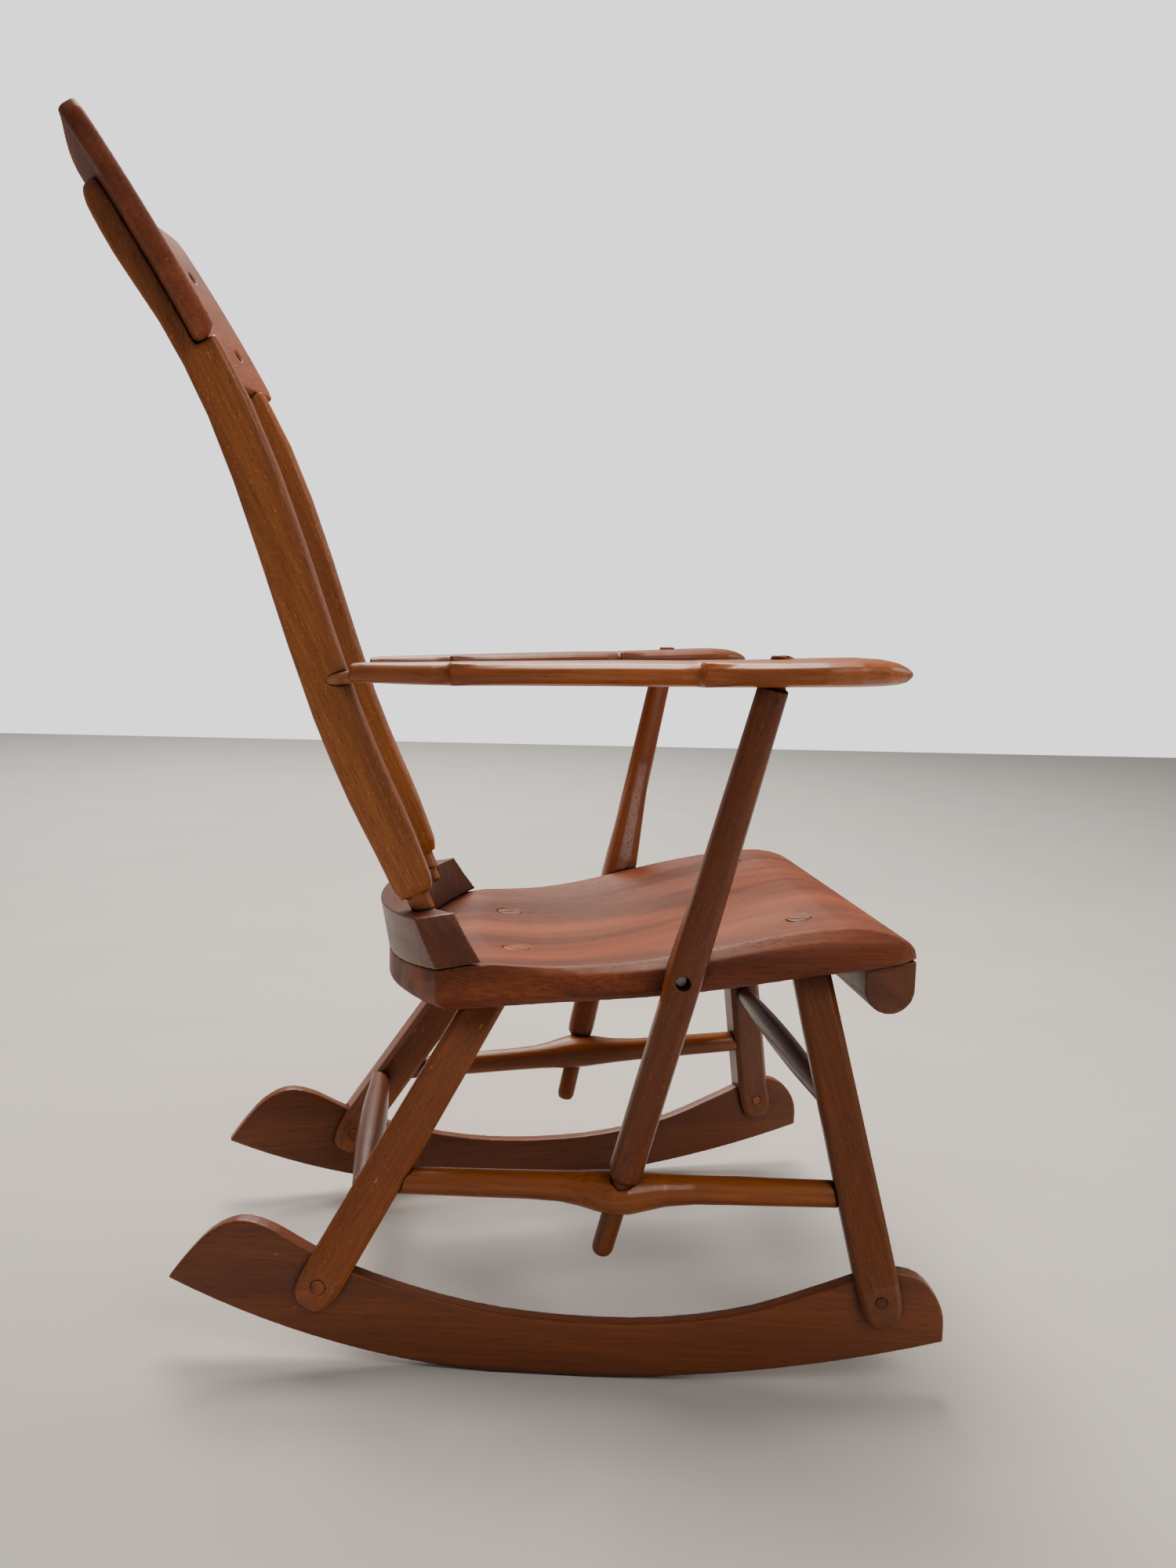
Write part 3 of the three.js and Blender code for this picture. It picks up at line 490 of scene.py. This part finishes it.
soft_light("ceiling light", (0.9, 0.1, 3.1), (0, 0, 0.5), 1.7, 115.0, (1.0, 0.87, 0.76))
soft_light("viewer light", (-2.4, -1.4, 2.4), (0, 0, 0.5), 1.3, 34.0)
soft_light("front light", (0.4, -2.6, 1.8), (0, 0, 0.6), 1.2, 16.0)
soft_light("far floor light", (4.2, 0.6, 4.0), (4.6, 0.0, 0.0), 3.0, 280.0)

world = bpy.data.worlds.new("studio")
bpy.context.scene.world = world
world.use_nodes = True
sky = world.node_tree
glow = sky.nodes["Background"]
glow.inputs["Color"].default_value = (1.0, 0.97, 0.94, 1)
glow.inputs["Strength"].default_value = 0.3
seen = sky.nodes.new("ShaderNodeBackground")
seen.inputs["Color"].default_value = (1.7, 1.66, 1.67, 1)
ray = sky.nodes.new("ShaderNodeLightPath")
pick = sky.nodes.new("ShaderNodeMixShader")
sky.links.new(ray.outputs["Is Camera Ray"], pick.inputs[0])
sky.links.new(glow.outputs[0], pick.inputs[1])
sky.links.new(seen.outputs[0], pick.inputs[2])
sky.links.new(pick.outputs[0], sky.nodes["World Output"].inputs["Surface"])

# %% [markdown]
# ## The camera
# The viewer stands at the sitter's right, a little under a metre and a half away, with the eye at
# arm height, looking slightly down. The camera is turned by three plain angles.

# %% Place the camera
eye = Vector((-1.4151, 0.0490, 0.6993))
sensor_height = 24.0
lens_share = 0.844
turn_back = math.radians(5.90)
tip_down = math.radians(6.40)
lean = math.radians(1.70)
level_look = Vector((math.cos(turn_back), -math.sin(turn_back), 0))
level_right = Vector((-math.sin(turn_back), -math.cos(turn_back), 0))
up = Vector((0, 0, 1))
look = level_look * math.cos(tip_down) - up * math.sin(tip_down)
tipped_up = up * math.cos(tip_down) + level_look * math.sin(tip_down)
right = level_right * math.cos(lean) + tipped_up * math.sin(lean)
above = tipped_up * math.cos(lean) - level_right * math.sin(lean)
camera_data = bpy.data.cameras.new("viewer")
camera_data.sensor_fit = "VERTICAL"
camera_data.sensor_height = sensor_height
camera_data.lens = sensor_height * lens_share
camera = bpy.data.objects.new("viewer", camera_data)
bpy.context.scene.collection.objects.link(camera)
camera.matrix_world = Matrix.Translation(eye) @ Matrix((right, above, -look)).transposed().to_4x4()
bpy.context.scene.camera = camera
print("camera at", [round(c, 3) for c in camera.location])
